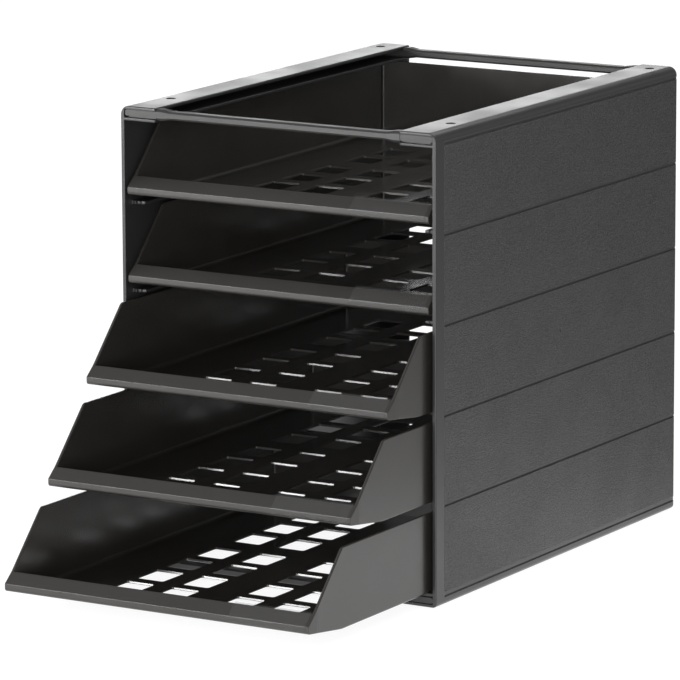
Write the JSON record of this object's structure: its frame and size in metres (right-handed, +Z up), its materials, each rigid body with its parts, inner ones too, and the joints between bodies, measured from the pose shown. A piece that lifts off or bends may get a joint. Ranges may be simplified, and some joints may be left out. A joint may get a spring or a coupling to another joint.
{
  "type": "letter tray stack with drawers",
  "caption": "Desktop letter tray stack: open-topped case with grooved side walls and open-front sliding trays with slotted floors and clear label windows.",
  "frame": {"origin": "on the surface it stands on, under the middle of the part's bounding box with its trays standing open as at rest", "axes": "+Z up, +Y towards the back of the case, +X to the right seen from the front; the trays pull out towards -Y"},
  "size_m": [0.248, 0.5028, 0.3222],
  "materials": {
    "case_plastic": "fine spark-eroded texture on the outside, satin smooth borders, anthracite black",
    "bar_plastic": "satin smooth, anthracite black",
    "tray_plastic": "semi-gloss moulded, anthracite black",
    "window_clear": "clear glossy plastic"
  },
  "bodies": {
    "case": {"side_wall_left": "case_plastic", "side_wall_right": "case_plastic", "cross_bar_top_front": "bar_plastic", "cross_bar_top_rear": "bar_plastic", "cross_bar_bottom_front": "bar_plastic", "cross_bar_bottom_rear": "bar_plastic"},
    "drawer_1": {"drawer_tray_1": "tray_plastic", "label_window_1": "window_clear"},
    "drawer_2": {"drawer_tray_2": "tray_plastic", "label_window_2": "window_clear"},
    "drawer_3": {"drawer_tray_3": "tray_plastic", "label_window_3": "window_clear"},
    "drawer_4": {"drawer_tray_4": "tray_plastic", "label_window_4": "window_clear"},
    "drawer_5": {"drawer_tray_5": "tray_plastic", "label_window_5": "window_clear"}
  },
  "joints": [
    {"name": "drawer_1_slide", "type": "slide", "parent": "case", "child": "drawer_1", "axis": [0, -1, 0], "range_m": [0, 0.23]},
    {"name": "drawer_2_slide", "type": "slide", "parent": "case", "child": "drawer_2", "axis": [0, -1, 0], "range_m": [0, 0.23]},
    {"name": "drawer_3_slide", "type": "slide", "parent": "case", "child": "drawer_3", "axis": [0, -1, 0], "range_m": [-0.0536, 0.1764]},
    {"name": "drawer_4_slide", "type": "slide", "parent": "case", "child": "drawer_4", "axis": [0, -1, 0], "range_m": [-0.1019, 0.1281]},
    {"name": "drawer_5_slide", "type": "slide", "parent": "case", "child": "drawer_5", "axis": [0, -1, 0], "range_m": [-0.1554, 0.0746]}
  ]
}
